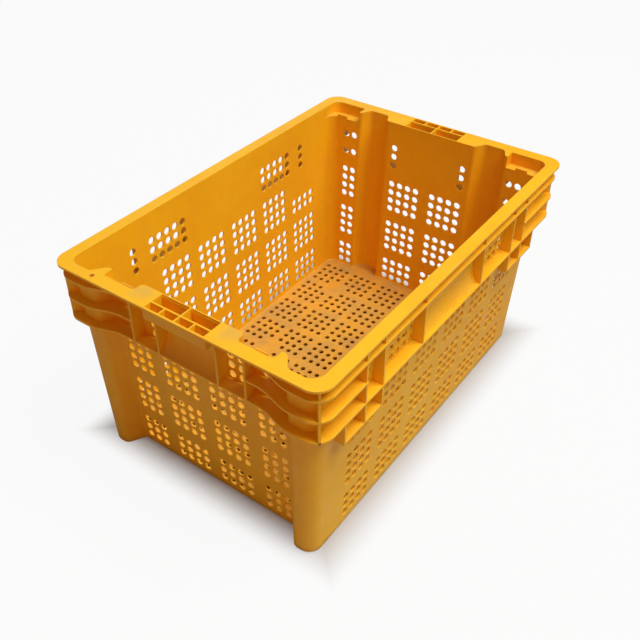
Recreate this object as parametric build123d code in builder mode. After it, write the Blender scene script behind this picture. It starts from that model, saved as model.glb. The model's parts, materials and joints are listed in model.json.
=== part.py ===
from build123d import *
import os

# Vented stacking crate, millimetres. Origin at the centre of the footprint, on the floor.
# X runs along the length with the corner-post end at -X, Y across the width, Z up.

# Overall size
length = 600.0
width = 400.0
height = 300.0
rim_radius = 22.0

# Sheet thicknesses of the moulding
wall = 2.5
rim_plate = 3.0
rib = 3.0
floor_low = 3.5
floor_high = 7.0
rim_low = height - rim_plate

# Inner faces of the drafted walls: (at the ground, at the rim)
side_inner = (172.5, 183.0)
near_inner = (253.0, 267.0)
far_inner = (256.0, 265.0)
near_post_inner = (278.0, 285.0)
far_post_inner = (273.0, 282.0)

# Bevel round the outer foot of the moulding, and cove round the inside of the floor
foot_bevel = 1.6
floor_cove = 3.0

# Where the posts leave the end walls, measured from the middle plane
near_post_start = 133.5
near_post_face = 147.0
far_post_span = (76.0, 84.5, 115.5, 124.0)

# Corner radii of the inside, in the order in which its outline meets them
near_corner_radii = (7.0, 9.0, 16.0)
far_corner_radii = (15.0, 6.0, 8.0, 8.0, 6.0)

# Vertical planes that part the walls, posts and rim into their regions
near_cut = -250.0
far_cut = 245.0
far_foot_cut = 250.0
near_post_cut = 129.0
far_strip_end = 157.0
far_wall_cut = 72.0
far_corner_cut = 128.0
rim_near_cut = 60.0

# Stacking seats
seat_low = 279.5
seat_top = seat_low + rib
near_seat = (74.0, near_post_cut)
near_seat_radius = 5.0
near_seat_flare = 6.5
flare_margin = 0.1
seat_back = 284.0
far_seat_radius = 14.0
stop_height = 4.0
stop_thickness = 2.0
stop_half = 9.0
near_stops = {"left": 104.0, "right": 98.5}
far_stops = {"left": 160.0, "right": 152.0}

# Handle lattice on both ends
handle_half = 47.0
handle_low = 283.0
handle_inner_low = 272.0
handle_step = 286.0
handle_setback = 1.5
pocket_half = 45.0
outer_pockets = (287.0, 297.0)
near_inner_pockets = (-284.5, -268.5)
far_inner_pockets = (266.5, 284.5)
outer_pocket_count = 4
inner_pocket_count = 2
pocket_rim = 2.5
web = 2.0

# Curved panels between the uprights: rise, reach, and thickness at the top
side_panel_rise = 24.0
side_panel_reach = 9.0
side_panel_lip = 2.0
grip_rise = 34.0
grip_lip = 3.5
panel_root_depth = 4.0
panel_bend = 0.38
panel_bend_lip = 1.6

# Rib cage around the rim: bottom faces of the four shelves
shelf_levels = (279.5, 249.0, 218.5, 188.0)
shelf_half_widths = (198.5, 198.0, 197.5, 197.0)
shelf_end = 296.5
shelf_middle = 284.5
shelf_radius = 24.0
shelf_bend = 70.0
bend_span = (112.0, 148.0)

# Upright ribs
side_rib_centre = -10.0
side_rib_offsets = (75.0, 164.0, 200.0)
low_shelf_reach = 240.0
end_rib_offsets = (46.0, 86.5)

# Ventilation holes
wall_hole = 5.4
wall_pitch = 14.9
wall_cluster = 74.0
side_hole_centre = -5.0
side_clusters = 6
side_top_column = 88.5
side_last_column = 182.5
side_row_levels = (198.5, 124.5, 50.5)
end_row_levels = (195.3, 121.3, 47.3)
row_counts = (4, 4, 3)
top_rows = (258.0, 243.3, 228.6)
end_column = 14.85
near_outer_column = 90.3
near_top_columns = (53.0, 67.9)
near_seat_columns = (105.0,)
far_top_columns = (59.6,)
strip_columns = (136.2, 150.6)
floor_hole = 3.7
floor_pitch = (13.98, 13.11)
floor_cluster = (62.78, 57.12)
floor_clusters = (8, 6)
floor_centre = -5.0

os.makedirs("parts", exist_ok=True)


def save(piece, name):
    """Label one finished piece and write its STEP file."""
    piece.part.label = name
    export_step(piece.part, f"parts/{name}.step")


def at_height(pair, z):
    """Drafted dimension at height z, from its values at the ground and at the rim."""
    return pair[0] + (pair[1] - pair[0]) * z / height


def closed_outline(corners):
    """Face inside a closed outline of (x, y, corner radius) points."""
    with BuildLine() as outline:
        FilletPolyline(
            *[(x, y) for x, y, _ in corners],
            radius=[r for _, _, r in corners],
            close=True,
        )
    make_face(outline.edges())


def inner_outline(level):
    """Closed outline of the crate's inside: level 0 is the ground, level 1 the rim."""
    side = side_inner[level]
    near = -near_inner[level]
    post = -near_post_inner[level]
    far = far_inner[level]
    channel = far_post_inner[level]
    start, face_low, face_high, stop = far_post_span
    places = [
        (near, near_post_start),
        (post, near_post_face),
        (post, side),
        (far, side),
        (far, stop),
        (channel, face_high),
        (channel, face_low),
        (far, start),
    ]
    half = [(x, y, r) for (x, y), r in zip(places, near_corner_radii + far_corner_radii)]
    corners = half + [(x, -y, r) for x, y, r in reversed(half)]
    closed_outline(corners)


def shelf_outline(half_width):
    """Outline of a rib shelf, bowed inwards between the corners of each end."""
    low, high = bend_span
    quarter = [
        (shelf_middle, low, shelf_bend),
        (shelf_end, high, shelf_bend),
        (shelf_end, half_width, shelf_radius),
    ]
    top = [(-x, y, r) for x, y, r in quarter] + list(reversed(quarter))
    corners = top + [(x, -y, r) for x, y, r in reversed(top)]
    closed_outline(corners)


def block(x_span, y_span, z_span, mode=Mode.ADD):
    """Box between two limits on each axis."""
    with Locations((x_span[0], y_span[0], z_span[0])):
        Box(
            x_span[1] - x_span[0],
            y_span[1] - y_span[0],
            z_span[1] - z_span[0],
            align=(Align.MIN, Align.MIN, Align.MIN),
            mode=mode,
        )


def row_of(first, pitch, count):
    """Evenly spaced positions that start at first."""
    return [first + pitch * i for i in range(count)]


def cluster_positions(middle, count):
    """Positions across one cluster of holes about its middle."""
    return row_of(middle - wall_pitch * (count - 1) / 2, wall_pitch, count)


def cluster_rows(levels, index, skip=0):
    """Heights of one cluster's rows, from the top, leaving out the first few."""
    rows = row_of(levels[index], -wall_pitch, row_counts[index])
    return rows[skip:]


def side_hole_points():
    """Hole centres (x, z) of a long wall."""
    points = []
    for k in range(side_clusters):
        middle = side_hole_centre + wall_cluster * (k - (side_clusters - 1) / 2)
        for index in range(3):
            skip = 2 if index == 0 and k in (0, side_clusters - 1) else 0
            for x in cluster_positions(middle, 4):
                points += [(x, z) for z in cluster_rows(side_row_levels, index, skip)]
    for sign in (-1, 1):
        columns = row_of(side_top_column, wall_pitch, 5) + [side_last_column]
        for x in columns:
            points += [(side_hole_centre + sign * x, z) for z in top_rows]
    return points


def end_hole_points(columns):
    """Hole centres (y, z) for the full-height clusters over the given columns."""
    points = []
    for y in columns:
        for index in range(3):
            points += [(y, z) for z in cluster_rows(end_row_levels, index)]
    return points


def drafted_section(pair, z_top):
    """Upright section of a drafted wall whose inner face is at the given pair."""
    top = at_height(pair, z_top)
    bevelled = at_height(pair, foot_bevel) + wall
    outline = [
        (pair[0], 0),
        (pair[0] + wall - foot_bevel, 0),
        (bevelled, foot_bevel),
        (top + wall, z_top),
        (top, z_top),
    ]
    with BuildLine() as section:
        Polyline(*outline, close=True)
    make_face(section.edges())


def drill(plane, points, depth):
    """Ventilation holes through a wall, seen along the plane's normal."""
    with BuildSketch(plane) as circles:
        with Locations(*points):
            Circle(wall_hole)
    extrude(circles.sketch, amount=depth, mode=Mode.SUBTRACT)


def prism(corners, z_span, mode=Mode.ADD):
    """Upright prism over a closed outline of (x, y, corner radius) points."""
    with BuildSketch(Plane.XY.offset(z_span[0])) as footprint:
        closed_outline(corners)
    extrude(footprint.sketch, amount=z_span[1] - z_span[0], mode=mode)


def near_recess(sign):
    """Cut the clear space over a near seat: rounded at the back, flared at its mouth."""
    low = near_seat[0] + wall
    high = near_seat[1] - wall
    edge = -near_inner[1]
    back = wall - seat_back
    mouth = edge + 2 * near_seat_flare
    corners = [
        (mouth, low - near_seat_flare, 0),
        (edge, low - near_seat_flare, 0),
        (edge, low, near_seat_flare - flare_margin),
        (back, low, near_seat_radius),
        (back, high, near_seat_radius),
        (mouth, high, 0),
    ]
    corners = [(x, sign * y, r) for x, y, r in corners]
    prism(corners, (seat_top, height), Mode.SUBTRACT)


def far_prism(x, y, y_start, radius, z_span, mode=Mode.ADD):
    """Prism of the far left corner: rounded at (x, y), open towards the crate."""
    corners = [(far_cut, y_start, 0), (x, y_start, 0), (x, y, radius), (far_cut, y, 0)]
    prism(corners, z_span, mode)


def far_recess(y=at_height(side_inner, rim_low)):
    """Cut the clear space over the far left seat, out to y."""
    far_prism(seat_back - wall, y, far_corner_cut, far_seat_radius, (seat_top, height), Mode.SUBTRACT)


def far_seat_block(mode=Mode.ADD):
    """Block that holds the far left seat, its back and its cheek."""
    far_prism(
        seat_back,
        at_height(side_inner, rim_low) + wall,
        far_corner_cut - wall,
        far_seat_radius + wall,
        (seat_low, rim_low),
        mode,
    )


def cut_from_shell(x_span, y_span, z_span):
    """The part of the drafted shell inside a box."""
    add(shell.part)
    block(x_span, y_span, z_span, mode=Mode.INTERSECT)


def save_pair(left_piece, middle_name):
    """Save a piece from the +Y side, and its mirror image for the -Y side."""
    save(left_piece, middle_name.replace("SIDE", "left"))
    with BuildPart() as right_piece:
        add(left_piece.part)
        mirror(about=Plane.XZ, mode=Mode.REPLACE)
    save(right_piece, middle_name.replace("SIDE", "right"))


def both_sides(values):
    """The values and their mirror images."""
    return list(values) + [-v for v in values]


# Envelopes: everything inside the outer skin, and everything inside the inner skin
with BuildPart() as inner_envelope:
    with BuildSketch(Plane.XY):
        inner_outline(0)
    with BuildSketch(Plane.XY.offset(height)):
        inner_outline(1)
    loft(ruled=True)

with BuildPart() as bevelled_foot:
    with BuildSketch(Plane.XY):
        inner_outline(0)
        offset(amount=wall - foot_bevel)
    with BuildSketch(Plane.XY.offset(2 * foot_bevel)):
        inner_outline(0)
        offset(amount=wall + foot_bevel)
    loft(ruled=True)

with BuildPart() as outer_envelope:
    with BuildSketch(Plane.XY):
        inner_outline(0)
        offset(amount=wall)
    with BuildSketch(Plane.XY.offset(height)):
        inner_outline(1)
        offset(amount=wall)
    loft(ruled=True)

with BuildPart() as foot_waste:
    block((-length, length), (-width, width), (0, 2 * foot_bevel))
    add(bevelled_foot.part, mode=Mode.SUBTRACT)

with BuildPart() as shell:
    add(outer_envelope.part)
    add(inner_envelope.part, mode=Mode.SUBTRACT)
    add(foot_waste.part, mode=Mode.SUBTRACT)
    block((-length, length), (-width, width), (rim_low, height + 1), mode=Mode.SUBTRACT)

# Perforated floor, with the blank patches where the plastic was fed in
floor_columns = [
    floor_centre + floor_cluster[0] * (k - 3.5) + floor_pitch[0] * (i - 1.5)
    for k in range(floor_clusters[0])
    for i in range(4)
]
floor_rows = [
    floor_cluster[1] * (k - 2.5) + floor_pitch[1] * (i - 1.5)
    for k in range(floor_clusters[1])
    for i in range(4)
]
patch_columns = (3, 4, 15, 16, 27, 28)
patch_rows = (3, 4, 19, 20)
floor_points = [
    (x, y)
    for i, x in enumerate(floor_columns)
    for j, y in enumerate(floor_rows)
    if not (i in patch_columns and j in patch_rows)
]
cove_top = floor_high + floor_cove + 1
with BuildPart() as above_cove:
    with BuildSketch(Plane.XY.offset(floor_high)):
        inner_outline(0)
        offset(amount=-floor_cove)
    with BuildSketch(Plane.XY.offset(cove_top)):
        inner_outline(0)
        offset(amount=1)
    loft(ruled=True)


def floor_sheet(low):
    """Unpierced floor from a height upwards, with the cove along the walls."""
    add(inner_envelope.part)
    block((-length, length), (-width, width), (low, cove_top), mode=Mode.INTERSECT)
    add(above_cove.part, mode=Mode.SUBTRACT)


foot_regions = {
    "near": ((-length, near_cut), (near_post_cut, width)),
    "far": ((far_foot_cut, length), (far_wall_cut, far_corner_cut)),
}
with BuildPart() as floor_panel:
    floor_sheet(floor_low)
    with BuildSketch(Plane.XY.offset(floor_low)):
        with Locations(*floor_points):
            Circle(floor_hole)
    extrude(amount=floor_high - floor_low, mode=Mode.SUBTRACT)
    for x_span, (low, high) in foot_regions.values():
        for y_span in ((low, high), (-high, -low)):
            block(x_span, y_span, (0, cove_top), mode=Mode.SUBTRACT)
save(floor_panel, "floor_panel")

# Feet: solid ends of the posts, which reach down to the ground
for end, (x_span, y_span) in foot_regions.items():
    with BuildPart() as foot:
        floor_sheet(0)
        block(x_span, y_span, (0, cove_top), mode=Mode.INTERSECT)
    save_pair(foot, f"{end}_SIDE_foot")

# Long walls
with BuildPart() as long_wall:
    with BuildSketch(Plane.YZ.offset(near_cut)):
        drafted_section(side_inner, rim_low)
    extrude(amount=far_cut - near_cut)
    drill(Plane.XZ, side_hole_points(), -width / 2)
save_pair(long_wall, "SIDE_long_wall")

# Near end wall: full height in the middle, and strips up to the seats on both sides
panel_columns = row_of(end_column, wall_pitch, 4)
near_points = end_hole_points(both_sides(panel_columns))
near_points += [(y, z) for y in both_sides(near_top_columns) for z in top_rows]
with BuildPart() as near_end_wall:
    with BuildSketch(Plane(origin=(0, near_seat[0], 0), x_dir=(-1, 0, 0), z_dir=(0, 1, 0))):
        drafted_section(near_inner, rim_low)
    extrude(amount=-2 * near_seat[0])
    for sign in (-1, 1):
        near_recess(sign)
    drill(Plane.YZ, near_points, -length / 2)
save(near_end_wall, "near_end_wall")

near_strip_points = end_hole_points(row_of(near_outer_column, wall_pitch, 3))
near_strip_points += [(y, z) for y in near_seat_columns for z in top_rows[::2]]
with BuildPart() as near_strip:
    with BuildSketch(Plane(origin=(0, near_post_cut, 0), x_dir=(-1, 0, 0), z_dir=(0, 1, 0))):
        drafted_section(near_inner, seat_low)
    extrude(amount=near_seat[0] - near_post_cut)
    drill(Plane.YZ, near_strip_points, -length / 2)
save_pair(near_strip, "near_SIDE_strip")

# Far end wall: the middle panel, and the flat strips between posts and corners
far_points = end_hole_points(both_sides(panel_columns))
far_points += [(y, z) for y in both_sides(far_top_columns) for z in top_rows]
far_plane = Plane(origin=(0, far_wall_cut, 0), x_dir=(1, 0, 0), z_dir=(0, -1, 0))
with BuildPart() as far_end_wall:
    with BuildSketch(far_plane):
        drafted_section(far_inner, rim_low)
    extrude(amount=2 * far_wall_cut)
    drill(Plane.YZ, far_points, length / 2)
save(far_end_wall, "far_end_wall")

strip_points = end_hole_points(strip_columns)
strip_points += [(y, z) for y in strip_columns for z in top_rows[::2]]
strip_plane = Plane(origin=(0, far_strip_end, 0), x_dir=(1, 0, 0), z_dir=(0, -1, 0))
with BuildPart() as far_strip:
    with BuildSketch(strip_plane):
        drafted_section(far_inner, seat_low)
    extrude(amount=far_strip_end - far_corner_cut)
    drill(Plane.YZ, strip_points, length / 2)
save_pair(far_strip, "far_SIDE_strip")

# Posts and corners, cut from the drafted shell
with BuildPart() as near_post:
    cut_from_shell((-length, near_cut), (near_post_cut, width), (0, rim_low))
save_pair(near_post, "near_SIDE_post")

with BuildPart() as far_post:
    cut_from_shell((far_cut, length), (far_wall_cut, far_corner_cut), (0, rim_low))
save_pair(far_post, "far_SIDE_post")

with BuildPart() as far_corner:
    cut_from_shell((far_cut, length), (far_strip_end, width), (0, seat_low))
save_pair(far_corner, "far_SIDE_corner")


# Stacking seats of the near end: a ledge with a back, two cheeks and a stop, in a recess of the rim
near_front = -at_height(near_inner, seat_top)
for side, sign in (("left", 1), ("right", -1)):
    span = sorted((sign * near_seat[0], sign * near_seat[1]))
    middle = sign * near_stops[side]
    with BuildPart() as near_seat_piece:
        block((-seat_back, near_front), span, (seat_low, rim_low))
        near_recess(sign)
        block(
            (near_front - stop_thickness, near_front),
            (middle - stop_half, middle + stop_half),
            (seat_low, seat_top + stop_height),
        )
        add(inner_envelope.part, mode=Mode.SUBTRACT)
    save(near_seat_piece, f"near_{side}_seat")

# Stacking seats of the far corners
far_front = at_height(far_inner, seat_top)
for side in ("left", "right"):
    middle = far_stops[side]
    with BuildPart() as far_seat_piece:
        far_seat_block()
        far_recess()
        block(
            (far_front, far_front + stop_thickness),
            (middle - stop_half, middle + stop_half),
            (seat_low, seat_top + stop_height),
        )
        add(inner_envelope.part, mode=Mode.SUBTRACT)
        add(far_post.part, mode=Mode.SUBTRACT)
    if side == "left":
        save(far_seat_piece, "far_left_seat")
    else:
        with BuildPart() as far_right_seat:
            add(far_seat_piece.part)
            mirror(about=Plane.XZ, mode=Mode.REPLACE)
        save(far_right_seat, "far_right_seat")

# Recesses and pockets that break the rim plate
pocket_rows = {
    "near": (
        (-outer_pockets[1], -outer_pockets[0], outer_pocket_count, handle_low),
        (*near_inner_pockets, inner_pocket_count, handle_inner_low),
    ),
    "far": (
        (*outer_pockets, outer_pocket_count, handle_low),
        (*far_inner_pockets, inner_pocket_count, handle_inner_low),
    ),
}


def lattice_pockets(end, z_limit=0):
    """Cut the rows of open pockets in the top of a handle."""
    for x_low, x_high, count, bottom in pocket_rows[end]:
        pitch = 2 * pocket_half / count
        for i in range(count):
            low = -pocket_half + pitch * i + web / 2
            z_span = (max(bottom + pocket_rim, z_limit), height)
            block((x_low, x_high), (low, low + pitch - web), z_span, mode=Mode.SUBTRACT)


with BuildPart() as rim_ring:
    with BuildSketch(Plane.XY.offset(rim_low)):
        RectangleRounded(length, width, rim_radius)
    extrude(amount=rim_plate)
    with BuildSketch(Plane.XY.offset(rim_low)) as mouth:
        inner_outline(1)
    extrude(mouth.sketch, amount=rim_plate, mode=Mode.SUBTRACT)
    for sign in (-1, 1):
        near_recess(sign)
    far_recess(side_inner[1])
    lattice_pockets("near", rim_low)
    lattice_pockets("far", rim_low)


def rim_region(x_span, y_span):
    """One stretch of the rim plate."""
    add(rim_ring.part)
    block(x_span, y_span, (rim_low, height), mode=Mode.INTERSECT)


with BuildPart() as rim_side:
    rim_region((near_cut, far_cut), (0, width))
save_pair(rim_side, "rim_SIDE")

with BuildPart() as rim_near:
    rim_region((-length, near_cut), (-rim_near_cut, rim_near_cut))
save(rim_near, "rim_near")

with BuildPart() as rim_near_ledge:
    rim_region((-length, near_cut), (rim_near_cut, near_post_cut))
save_pair(rim_near_ledge, "rim_near_SIDE")

with BuildPart() as rim_far:
    rim_region((far_cut, length), (-far_corner_cut, far_corner_cut))
save(rim_far, "rim_far")

with BuildPart() as rim_near_corner:
    rim_region((-length, near_cut), (near_post_cut, width))
save_pair(rim_near_corner, "rim_near_SIDE_corner")

with BuildPart() as rim_far_corner:
    rim_region((far_cut, length), (far_corner_cut, width))
save_pair(rim_far_corner, "rim_far_SIDE_corner")

# Handle lattices under the rim of both ends, with blind pockets that are deeper at the wall
handle_front = length / 2 - handle_setback
for end, sign, inner in (("near", -1, near_inner), ("far", 1, far_inner)):
    root = at_height(inner, handle_inner_low)
    with BuildPart() as handle:
        for reach, low in ((handle_front, handle_low), (handle_step, handle_inner_low)):
            x_span = sorted((sign * root, sign * reach))
            block(x_span, (-handle_half, handle_half), (low, rim_low))
        lattice_pockets(end)
        add(outer_envelope.part, mode=Mode.SUBTRACT)
    save(handle, f"{end}_handle_lattice")


def clear_of_walls():
    """Remove what lies inside the outer skin or inside a stacking seat."""
    add(outer_envelope.part, mode=Mode.SUBTRACT)
    block((-seat_back, 0), near_seat, (seat_low, rim_low), mode=Mode.SUBTRACT)
    far_seat_block(Mode.SUBTRACT)


def shelf(index, x_span, y_span):
    """One horizontal shelf of the rib cage inside a rectangle in plan."""
    with BuildSketch(Plane.XY.offset(shelf_levels[index])) as footprint:
        shelf_outline(shelf_half_widths[index])
        with Locations(((x_span[0] + x_span[1]) / 2, (y_span[0] + y_span[1]) / 2)):
            Rectangle(x_span[1] - x_span[0], y_span[1] - y_span[0], mode=Mode.INTERSECT)
    extrude(footprint.sketch, amount=rib)


def side_upright(x, low, high=rim_low):
    """Upright rib across the outside of a long wall."""
    block((x - rib / 2, x + rib / 2), (width / 4, shelf_half_widths[3]), (low, high))


side_ribs = sorted(side_rib_centre + sign * d for d in side_rib_offsets for sign in (-1, 1))
cage_near = side_ribs[0] + rib / 2
cage_far = side_ribs[-1] - rib / 2
cage_end = end_rib_offsets[1] + rib / 2
low_near = side_rib_centre - low_shelf_reach
low_far = side_rib_centre + low_shelf_reach

# Rib shelves that wrap each corner, and the uprights that tie them together
for end, sign, side_limit, low_limit, side_rib in (
    ("near", -1, cage_near, low_near, side_ribs[0]),
    ("far", 1, cage_far, low_far, side_ribs[-1]),
):
    span = sorted((sign * length, side_limit))
    with BuildPart() as corner_shelves:
        shelf(0, span, (cage_end, width))
        for index in (1, 2):
            if end == "near":
                shelf(index, span, (cage_end, width))
            else:
                shelf(index, span, (cage_end, far_corner_cut))
                shelf(index, span, (far_strip_end, width))
        shelf(3, sorted((low_limit, side_limit)), (width / 4, width))
        clear_of_walls()
    save_pair(corner_shelves, f"{end}_SIDE_corner_shelves")

    corner_x = sign * (shelf_end - shelf_radius)
    corner_y = shelf_half_widths[2] - shelf_radius
    with BuildPart() as corner_gussets:
        side_upright(side_rib, shelf_levels[3])
        side_upright(low_limit, shelf_levels[3], shelf_levels[2])
        with BuildSketch(Plane.XY.offset(shelf_levels[2])) as diagonal:
            with Locations(Location((corner_x, corner_y), 45 if sign > 0 else 135)):
                Rectangle(2 * shelf_radius, rib)
        extrude(diagonal.sketch, amount=rim_low - shelf_levels[2])
        clear_of_walls()
        add(corner_shelves.part, mode=Mode.SUBTRACT)
    save_pair(corner_gussets, f"{end}_SIDE_corner_gussets")

# Long rails along each side
with BuildPart() as upper_rail:
    shelf(0, (cage_near, cage_far), (width / 4, width))
    clear_of_walls()
save_pair(upper_rail, "SIDE_upper_rail")

with BuildPart() as lower_rail:
    shelf(2, (cage_near, cage_far), (width / 4, width))
    clear_of_walls()
save_pair(lower_rail, "SIDE_lower_rail")

# Short shelves below the lower rail, and the uprights of each side
inner_ribs = side_ribs[1:-1]
outermost = ((inner_ribs[0], cage_near), (inner_ribs[-1], cage_far))
with BuildPart() as low_shelves:
    for x, limit in outermost:
        shelf(3, sorted((x, limit)), (width / 4, width))
    clear_of_walls()
save_pair(low_shelves, "SIDE_low_shelves")

with BuildPart() as side_uprights:
    for x in inner_ribs:
        side_upright(x, shelf_levels[2])
    for x, _ in outermost:
        side_upright(x, shelf_levels[3], shelf_levels[2])
    clear_of_walls()
    add(upper_rail.part, mode=Mode.SUBTRACT)
    add(lower_rail.part, mode=Mode.SUBTRACT)
    add(low_shelves.part, mode=Mode.SUBTRACT)
save_pair(side_uprights, "SIDE_uprights")


def curved_panel(root, reach, rise, lip):
    """Section of a panel that curves up from a shelf towards the wall at root."""
    back = root - panel_root_depth
    top = panel_foot + rise
    bend = (root + lip + panel_bend_lip, panel_foot + panel_bend * rise)
    with BuildLine() as curve:
        ThreePointArc((reach, panel_foot), bend, (root + lip, top))
        Polyline((root + lip, top), (back, top), (back, panel_foot), (reach, panel_foot))
    make_face(curve.edges())


# Smooth curved panel between the two middle uprights of each side
panel_span = (inner_ribs[1] + rib / 2, inner_ribs[2] - rib / 2)
panel_foot = shelf_levels[2] + rib
side_root = at_height(side_inner, panel_foot) + wall
with BuildPart() as side_panel:
    with BuildSketch(Plane.YZ.offset(panel_span[0])):
        curved_panel(side_root, side_root + side_panel_reach, side_panel_rise, side_panel_lip)
    extrude(amount=panel_span[1] - panel_span[0])
    clear_of_walls()
save_pair(side_panel, "SIDE_grip_panel")

# Ends: lower rail, uprights beside the handle, and the scooped hand grip
for end, sign, inner in (("near", -1, near_inner), ("far", 1, far_inner)):
    with BuildPart() as end_rail:
        shelf(2, sorted((sign * length, 0)), (-cage_end, cage_end))
        clear_of_walls()
    save(end_rail, f"{end}_lower_rail")

    with BuildPart() as end_uprights:
        for y in both_sides(end_rib_offsets):
            block(sorted((0, sign * shelf_middle)), (y - rib / 2, y + rib / 2), (panel_foot, rim_low))
        clear_of_walls()
        for y_span in (near_seat, (-near_seat[1], -near_seat[0])):
            block((-length, 0), y_span, (seat_low, rim_low), mode=Mode.SUBTRACT)
        block((-length, length), (-handle_half, handle_half), (handle_inner_low, rim_low), mode=Mode.SUBTRACT)
    save(end_uprights, f"{end}_uprights")

    grip_half = end_rib_offsets[0] - rib / 2
    with BuildPart() as hand_grip:
        with BuildSketch(Plane(origin=(0, grip_half, 0), x_dir=(sign, 0, 0), z_dir=(0, -sign, 0))):
            end_root = at_height(inner, panel_foot) + wall
            curved_panel(end_root, shelf_middle - handle_setback, grip_rise, grip_lip)
        extrude(amount=sign * 2 * grip_half)
        clear_of_walls()
    save(hand_grip, f"{end}_hand_grip")
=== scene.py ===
import json
import math

import bpy
from mathutils import Matrix, Vector


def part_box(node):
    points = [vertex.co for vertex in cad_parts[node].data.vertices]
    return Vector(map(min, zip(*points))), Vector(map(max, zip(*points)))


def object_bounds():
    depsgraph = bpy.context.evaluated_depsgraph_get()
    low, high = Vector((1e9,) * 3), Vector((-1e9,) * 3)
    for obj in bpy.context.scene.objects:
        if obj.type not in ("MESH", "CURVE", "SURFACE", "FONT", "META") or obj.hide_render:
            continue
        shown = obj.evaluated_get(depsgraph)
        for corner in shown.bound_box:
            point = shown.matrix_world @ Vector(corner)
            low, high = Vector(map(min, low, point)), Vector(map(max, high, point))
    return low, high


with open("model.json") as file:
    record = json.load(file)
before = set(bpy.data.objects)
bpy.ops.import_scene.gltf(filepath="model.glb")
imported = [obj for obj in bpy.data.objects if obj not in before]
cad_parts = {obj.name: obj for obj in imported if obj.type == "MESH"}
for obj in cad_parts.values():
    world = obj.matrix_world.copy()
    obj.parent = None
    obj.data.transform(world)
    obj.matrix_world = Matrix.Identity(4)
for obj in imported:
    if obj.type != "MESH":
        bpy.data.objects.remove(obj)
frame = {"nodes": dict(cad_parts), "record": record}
cad_low, cad_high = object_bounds()

# ---------------------------------------------------------------- node helper


class Graph:
    """Builds a material's node tree with short calls."""

    def __init__(self, tree):
        self.tree = tree

    def node(self, kind, settings=None, **inputs):
        """Add a node, set its properties, and set or link its inputs by name."""
        made = self.tree.nodes.new(kind)
        for key, value in (settings or {}).items():
            setattr(made, key, value)
        for key, value in inputs.items():
            self.feed(made.inputs[key.replace("_", " ")], value)
        return made

    def feed(self, socket, value):
        if isinstance(value, bpy.types.NodeSocket):
            self.tree.links.new(value, socket)
        else:
            socket.default_value = value

    def math(self, operation, first, second=0.0, clamp=False):
        made = self.tree.nodes.new("ShaderNodeMath")
        made.operation = operation
        made.use_clamp = clamp
        self.feed(made.inputs[0], first)
        self.feed(made.inputs[1], second)
        return made.outputs[0]

    def vector(self, operation, first, second=(0.0, 0.0, 0.0)):
        made = self.tree.nodes.new("ShaderNodeVectorMath")
        made.operation = operation
        self.feed(made.inputs[0], first)
        self.feed(made.inputs[1], second)
        return made.outputs["Value" if operation in ("DOT_PRODUCT", "LENGTH", "DISTANCE") else 0]

    def ramp(self, value, low, high, to_low=0.0, to_high=1.0):
        """Smooth step of a value from one range to another."""
        made = self.tree.nodes.new("ShaderNodeMapRange")
        made.interpolation_type = "SMOOTHSTEP"
        for socket, number in zip(made.inputs, (value, low, high, to_low, to_high)):
            self.feed(socket, number)
        return made.outputs[0]

    def noise(self, coords, size, detail=3.0, rough=0.5, stretch=(1.0, 1.0, 1.0)):
        """Noise whose features are about the given size in metres."""
        mapping = self.node("ShaderNodeMapping", Vector=coords, Scale=stretch)
        made = self.node(
            "ShaderNodeTexNoise",
            Vector=mapping.outputs[0],
            Scale=1.0 / size,
            Detail=detail,
            Roughness=rough,
        )
        return made.outputs[0]

    def mix(self, amount, first, second, blend="MIX"):
        made = self.tree.nodes.new("ShaderNodeMix")
        made.data_type = "RGBA"
        made.blend_type = blend
        self.feed(made.inputs[0], amount)
        self.feed(made.inputs[6], first)
        self.feed(made.inputs[7], second)
        return made.outputs[2]


# ---------------------------------------------------------------- seams between nodes

SEAM_TOUCH = 0.00005
FAR_AWAY = 10.0


boxes = {name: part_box(name) for name in frame["nodes"]}


def seam_limits(node):
    """Planes where the node's moulding goes on into its neighbours, as low and high corners."""
    low, high = boxes[node]
    seams = ([-FAR_AWAY] * 3, [FAR_AWAY] * 3)
    for other, (other_low, other_high) in boxes.items():
        if other == node:
            continue
        overlap = [min(high[k], other_high[k]) - max(low[k], other_low[k]) for k in range(3)]
        for axis in range(3):
            beside = all(overlap[k] > SEAM_TOUCH for k in range(3) if k != axis)
            if beside and abs(other_high[axis] - low[axis]) < SEAM_TOUCH:
                seams[0][axis] = low[axis]
            if beside and abs(other_low[axis] - high[axis]) < SEAM_TOUCH:
                seams[1][axis] = high[axis]
    return seams


# ---------------------------------------------------------------- moulded plastic

YELLOW = (0.97, 0.52, 0.006, 1.0)
ORANGE = (0.86, 0.36, 0.006, 1.0)
PALE = (0.93, 0.62, 0.12, 1.0)
DUST = (0.58, 0.38, 0.12, 1.0)
# Dark colour for the small specks of dirt, and also for the painted contact shade at the foot
GRIME_AND_SHADE = (0.16, 0.07, 0.012, 1.0)
PAINT = (0.42, 0.012, 0.004, 1.0)
EDGE_RADIUS = 0.0007
SEAM_BAND = (0.0006, 0.0016)


def spot(g, place, centre, radius, edge):
    """Mask of a round spot at a point of the crate, with a ragged edge."""
    away = g.vector("DISTANCE", place, tuple(centre))
    ragged = g.math("MULTIPLY", g.math("SUBTRACT", g.noise(place, edge, 3.0, 0.6), 0.5), 2 * edge)
    return g.ramp(g.math("ADD", away, ragged), radius, radius - 1.5 * edge)


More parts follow.
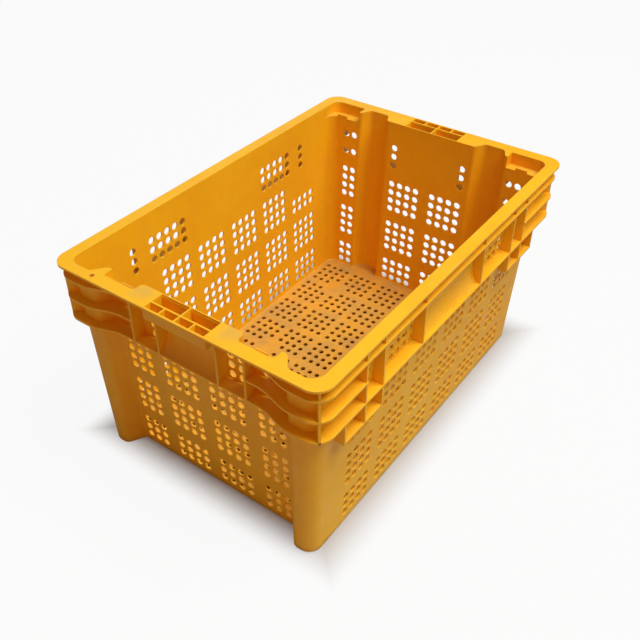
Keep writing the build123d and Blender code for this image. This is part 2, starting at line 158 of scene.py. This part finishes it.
def moulded_plastic(name, dust, wear, tone, shine, patches=(), dabs=()):
    """Moulded polyethylene: tone shifts it towards orange, dust and wear are amounts."""
    material = bpy.data.materials.new(name)
    material.use_nodes = True
    g = Graph(material.node_tree)
    material.node_tree.nodes.clear()
    place = g.node("ShaderNodeTexCoord").outputs["Object"]
    surface = g.node("ShaderNodeNewGeometry")

    # Distance to the nearest plane where this piece meets another in the same moulding
    seam_low = g.node("ShaderNodeAttribute", {"attribute_type": "OBJECT", "attribute_name": "seam_low"})
    seam_high = g.node("ShaderNodeAttribute", {"attribute_type": "OBJECT", "attribute_name": "seam_high"})
    gap = g.vector(
        "MINIMUM",
        g.vector("SUBTRACT", place, seam_low.outputs["Vector"]),
        g.vector("SUBTRACT", seam_high.outputs["Vector"], place),
    )
    parts = g.node("ShaderNodeSeparateXYZ", Vector=gap).outputs
    nearest = g.math("MINIMUM", g.math("MINIMUM", parts[0], parts[1]), parts[2])
    open_edge = g.ramp(nearest, *SEAM_BAND)

    # Rounded edges, left out along the seams
    rounded = g.node("ShaderNodeBevel", {"samples": 4}, Radius=EDGE_RADIUS).outputs[0]
    turn = g.vector("DOT_PRODUCT", rounded, surface.outputs["Normal"])
    edge = g.math("MULTIPLY", g.ramp(turn, 0.995, 0.86), open_edge)
    shaped = g.mix(open_edge, surface.outputs["Normal"], rounded)

    # Colour: slow drift of tone, painted shade towards the far end, cloudy mottling, flow marks
    drift = g.noise(place, 0.16, 2.0)
    mottle = g.noise(place, 0.022, 5.0, 0.6)
    flow = g.noise(place, 0.012, 4.0, 0.65, (0.35, 1.0, 0.35))
    along = g.node("ShaderNodeSeparateXYZ", Vector=place).outputs
    orange = g.math("ADD", g.ramp(drift, 0.3, 0.75, -0.16, 0.22), tone)
    # Painted shade: the tone turns more orange towards the far end (+X), as the light falls off along the crate
    orange = g.math("ADD", orange, g.ramp(along[0], cad_low.x, cad_high.x, -0.04, 0.14))
    orange = g.math("ADD", orange, g.ramp(mottle, 0.35, 0.7, -0.08, 0.12), clamp=True)
    colour = g.mix(orange, YELLOW, ORANGE)
    pale = g.math("MULTIPLY", g.ramp(flow, 0.52, 0.72), 0.13 * wear)
    colour = g.mix(pale, colour, PALE)
    streaks = g.ramp(g.noise(place, 0.006, 3.0, 0.5, (1.0, 1.0, 0.04)), 0.42, 0.72)
    colour = g.mix(g.math("MULTIPLY", streaks, 0.10), colour, ORANGE)

    # Dust lies on what faces up, in patches
    facing = g.node("ShaderNodeSeparateXYZ", Vector=surface.outputs["Normal"]).outputs[2]
    cloudy = g.ramp(g.noise(place, 0.05, 6.0, 0.7), 0.35, 0.68, 0.35, 1.0)
    settled = g.math("MULTIPLY", g.ramp(facing, 0.2, 0.95, 0.06, 1.0), cloudy)
    colour = g.mix(g.math("MULTIPLY", settled, dust), colour, DUST)

    # Patches rubbed dull by hands and by the crates stacked on top, and dabs of old paint
    for centre, radius in patches:
        rubbed_patch = spot(g, place, centre, radius, 0.013)
        colour = g.mix(g.math("MULTIPLY", rubbed_patch, 0.42), colour, DUST)
    for centre, radius in dabs:
        colour = g.mix(g.math("MULTIPLY", spot(g, place, centre, radius, 0.0008), 0.85), colour, PAINT)

    # Scratches and scuffs: long thin marks broken up by a coarse mask
    rubbed = g.ramp(g.noise(place, 0.07, 3.0, 0.6), 0.46, 0.66)
    lines_x = g.ramp(g.noise(place, 0.0016, 2.0, 0.5, (0.05, 1.0, 0.6)), 0.60, 0.74)
    lines_y = g.ramp(g.noise(place, 0.0019, 2.0, 0.5, (1.0, 0.06, 0.5)), 0.61, 0.76)
    lines_z = g.ramp(g.noise(place, 0.0018, 2.0, 0.5, (0.7, 0.7, 0.05)), 0.63, 0.78)
    scratch = g.math("MAXIMUM", g.math("MAXIMUM", lines_x, lines_y), lines_z)
    scratch = g.math("MULTIPLY", g.math("MULTIPLY", scratch, rubbed), 0.5 * wear, clamp=True)
    colour = g.mix(scratch, colour, PALE)

    # Rubbed paler edges, broken up, and small dark specks
    chipped = g.ramp(g.noise(place, 0.009, 4.0, 0.6), 0.3, 0.62, 0.15, 0.75)
    edge_wear = g.math("MULTIPLY", g.math("MULTIPLY", edge, chipped), 0.6 * wear)
    colour = g.mix(edge_wear, colour, PALE)
    cells = g.node("ShaderNodeTexVoronoi", Vector=place, Scale=1 / 0.021, Randomness=1.0)
    chance = g.node("ShaderNodeSeparateColor", Color=cells.outputs["Color"]).outputs[0]
    speck = g.math("MULTIPLY", g.ramp(cells.outputs["Distance"], 0.055, 0.03), g.math("GREATER_THAN", chance, 0.9))
    colour = g.mix(g.math("MULTIPLY", speck, 0.75), colour, GRIME_AND_SHADE)
    # Painted contact shade: the colour darkens towards the bottom 12 mm, where the crate meets the floor, broken
    # up by the cloudy mask
    foot_contact_shade = g.math("MULTIPLY", g.ramp(along[2], 0.012, 0.0), cloudy)
    colour = g.mix(g.math("MULTIPLY", foot_contact_shade, 0.55), colour, GRIME_AND_SHADE)

    # Finish: gloss varies with handling, and the surface has a fine tool texture
    gloss = g.math("ADD", g.ramp(g.noise(place, 0.03, 4.0, 0.6), 0.3, 0.7, -0.06, 0.08), shine)
    gloss = g.math("ADD", gloss, g.math("MULTIPLY", scratch, 0.3))
    gloss = g.math("ADD", gloss, g.math("MULTIPLY", settled, 0.25 * dust), clamp=True)
    tooling = g.noise(place, 0.0009, 3.0, 0.6)
    ripple = g.noise(place, 0.035, 2.0, 0.4)
    relief = g.math("ADD", g.math("MULTIPLY", tooling, 0.00006), g.math("MULTIPLY", ripple, 0.0009))
    relief = g.math("SUBTRACT", relief, g.math("MULTIPLY", scratch, 0.00005))
    bump = g.node("ShaderNodeBump", Strength=0.55, Distance=1.0, Height=relief, Normal=shaped).outputs[0]

    skin = g.node(
        "ShaderNodeBsdfPrincipled",
        Base_Color=colour,
        Roughness=gloss,
        Normal=bump,
        IOR=1.5,
    )
    skin.inputs["Specular IOR Level"].default_value = 0.36
    skin.inputs["Subsurface Weight"].default_value = 0.12
    skin.inputs["Subsurface Radius"].default_value = (1.0, 0.45, 0.08)
    skin.inputs["Subsurface Scale"].default_value = 0.003
    g.node("ShaderNodeOutputMaterial", Surface=skin.outputs[0])
    return material


handle_low, handle_high = boxes["near_handle_lattice"]
rim_edge = boxes["rim_near"][0].x
corner_low, corner_high = boxes["rim_near_left_corner"]
HANDLE_PATCH = 0.019
rim_patches = [
    ((handle_high.x - 0.008, side * (handle_high.y + HANDLE_PATCH), cad_high.z), HANDLE_PATCH * 1.15)
    for side in (-1, 1)
]
red_dab = (rim_edge + 0.010, corner_low.y + 0.007, cad_high.z)
FINISHES = {
    # The floor's higher tone makes it more orange than the rest of the moulding: painted shade for its depth
    # inside the crate
    "floor_plastic": moulded_plastic("floor_plastic", dust=0.80, wear=0.7, tone=0.5, shine=0.58),
    "rim_plastic": moulded_plastic(
        "rim_plastic", dust=0.08, wear=0.7, tone=0.0, shine=0.42, patches=rim_patches, dabs=[(red_dab, 0.0035)]
    ),
    "grip_plastic": moulded_plastic("grip_plastic", dust=0.30, wear=1.0, tone=0.25, shine=0.48),
    "rib_plastic": moulded_plastic("rib_plastic", dust=0.10, wear=0.6, tone=0.12, shine=0.45),
    "post_plastic": moulded_plastic("post_plastic", dust=0.12, wear=0.6, tone=0.22, shine=0.46),
    "wall_plastic": moulded_plastic("wall_plastic", dust=0.12, wear=0.6, tone=0.15, shine=0.46),
}

slot_of = {part["node"]: part["material_slot"] for part in frame["record"]["subparts"]}
for name, shape in frame["nodes"].items():
    low, high = seam_limits(name)
    shape["seam_low"] = low
    shape["seam_high"] = high
    finish = FINISHES[slot_of[name]]
    if not shape.material_slots:
        shape.data.materials.append(finish)
    for material_slot in shape.material_slots:
        material_slot.material = finish

# ---------------------------------------------------------------- stage

FLOOR_SIZE = 8.0
ground = bpy.data.meshes.new("ground")
half = FLOOR_SIZE / 2
corners = [(-half, -half, 0.0), (half, -half, 0.0), (half, half, 0.0), (-half, half, 0.0)]
ground.from_pydata(corners, [], [(0, 1, 2, 3)])
ground_object = bpy.data.objects.new("ground", ground)
bpy.context.scene.collection.objects.link(ground_object)
paper = bpy.data.materials.new("paper_white_with_painted_shade")
paper.use_nodes = True
paper.node_tree.nodes.clear()
sheet = Graph(paper.node_tree)
spot_place = sheet.node("ShaderNodeTexCoord").outputs["Object"]
foot_half = (boxes["floor_panel"][1] - boxes["floor_panel"][0]) / 2
past_foot = sheet.vector("SUBTRACT", sheet.vector("ABSOLUTE", spot_place), tuple(foot_half))
sides = sheet.node("ShaderNodeSeparateXYZ", Vector=past_foot).outputs
from_foot = sheet.math("MAXIMUM", sides[0], sides[1])
pale_tone = sheet.mix(sheet.noise(spot_place, 0.4, 2.0), (0.46, 0.46, 0.455, 1.0), (0.50, 0.50, 0.495, 1.0))
# Painted shade: inside the crate's footprint the ground is painted nearly black, under the crate
ground_with_painted_shade = sheet.mix(sheet.ramp(from_foot, -0.012, 0.0), (0.055, 0.022, 0.012, 1.0), pale_tone)
matte = sheet.node("ShaderNodeBsdfDiffuse", Color=ground_with_painted_shade)
lit = sheet.node("ShaderNodeEmission", Color=(1.0, 1.0, 1.0, 1.0), Strength=1.0)

# The glowing backdrop shows to the camera only. Near the crate's footprint it fades out on every side, from 55 mm
# outside to 12 mm inside: painted contact shade, through which the real shadow on the ground also shows
glow_fading_into_painted_shade = sheet.ramp(from_foot, -0.012, 0.055, 0.0, 0.93)
seen_floor = sheet.node("ShaderNodeLightPath").outputs["Is Camera Ray"]
blend = sheet.node("ShaderNodeMixShader", Fac=sheet.math("MULTIPLY", glow_fading_into_painted_shade, seen_floor))
sheet.feed(blend.inputs[1], matte.outputs[0])
sheet.feed(blend.inputs[2], lit.outputs[0])
sheet.node("ShaderNodeOutputMaterial", Surface=blend.outputs[0])
ground.materials.append(paper)


def soft_light(name, place, aim, size, watts, colour):
    """Square soft light that points at a place."""
    lamp = bpy.data.lights.new(name, "AREA")
    lamp.size = size
    lamp.energy = watts
    lamp.color = colour
    holder = bpy.data.objects.new(name, lamp)
    holder.location = place
    holder.rotation_euler = (Vector(aim) - Vector(place)).to_track_quat("-Z", "Y").to_euler()
    bpy.context.scene.collection.objects.link(holder)


middle = (cad_low + cad_high) / 2
soft_light("key", (0.30, -1.15, 2.8), middle, 1.7, 89.0, (1.0, 0.98, 0.95))
soft_light("warm_fill", (-1.8, -0.5, 1.05), middle, 1.2, 5.0, (1.0, 0.32, 0.10))
soft_light("back_fill", (1.7, 1.7, 0.9), middle, 1.4, 5.0, (1.0, 0.96, 0.9))

world = bpy.data.worlds.new("studio")
world.use_nodes = True
sky = Graph(world.node_tree)
world.node_tree.nodes.clear()
seen = sky.node("ShaderNodeLightPath").outputs["Is Camera Ray"]
backdrop = sky.node("ShaderNodeBackground", Color=(1.0, 1.0, 1.0, 1.0), Strength=1.0)
ambient = sky.node("ShaderNodeBackground", Color=(1.0, 0.98, 0.95, 1.0), Strength=0.14)
both = sky.node("ShaderNodeMixShader", Fac=seen)
sky.feed(both.inputs[1], ambient.outputs[0])
sky.feed(both.inputs[2], backdrop.outputs[0])
sky.node("ShaderNodeOutputWorld", Surface=both.outputs[0])
bpy.context.scene.world = world
bpy.context.scene.view_settings.view_transform = "Standard"

# ---------------------------------------------------------------- camera

CAMERA_PLACE = Vector((-0.7721, -0.5306, 0.8583))
CAMERA_AIM = Vector((-0.0502, -0.0007, 0.15))
CAMERA_ROLL = math.radians(-0.2)
camera = bpy.data.cameras.new("camera")
camera.sensor_width = 36.0
camera.lens = 46.28
camera.shift_x = 0.0186
camera.shift_y = -0.0069
camera_object = bpy.data.objects.new("camera", camera)
facing_aim = (CAMERA_AIM - CAMERA_PLACE).to_track_quat("-Z", "Y").to_matrix().to_4x4()
roll = Matrix.Rotation(CAMERA_ROLL, 4, "Z")
camera_object.matrix_world = Matrix.Translation(CAMERA_PLACE) @ facing_aim @ roll
bpy.context.scene.collection.objects.link(camera_object)
bpy.context.scene.camera = camera_object
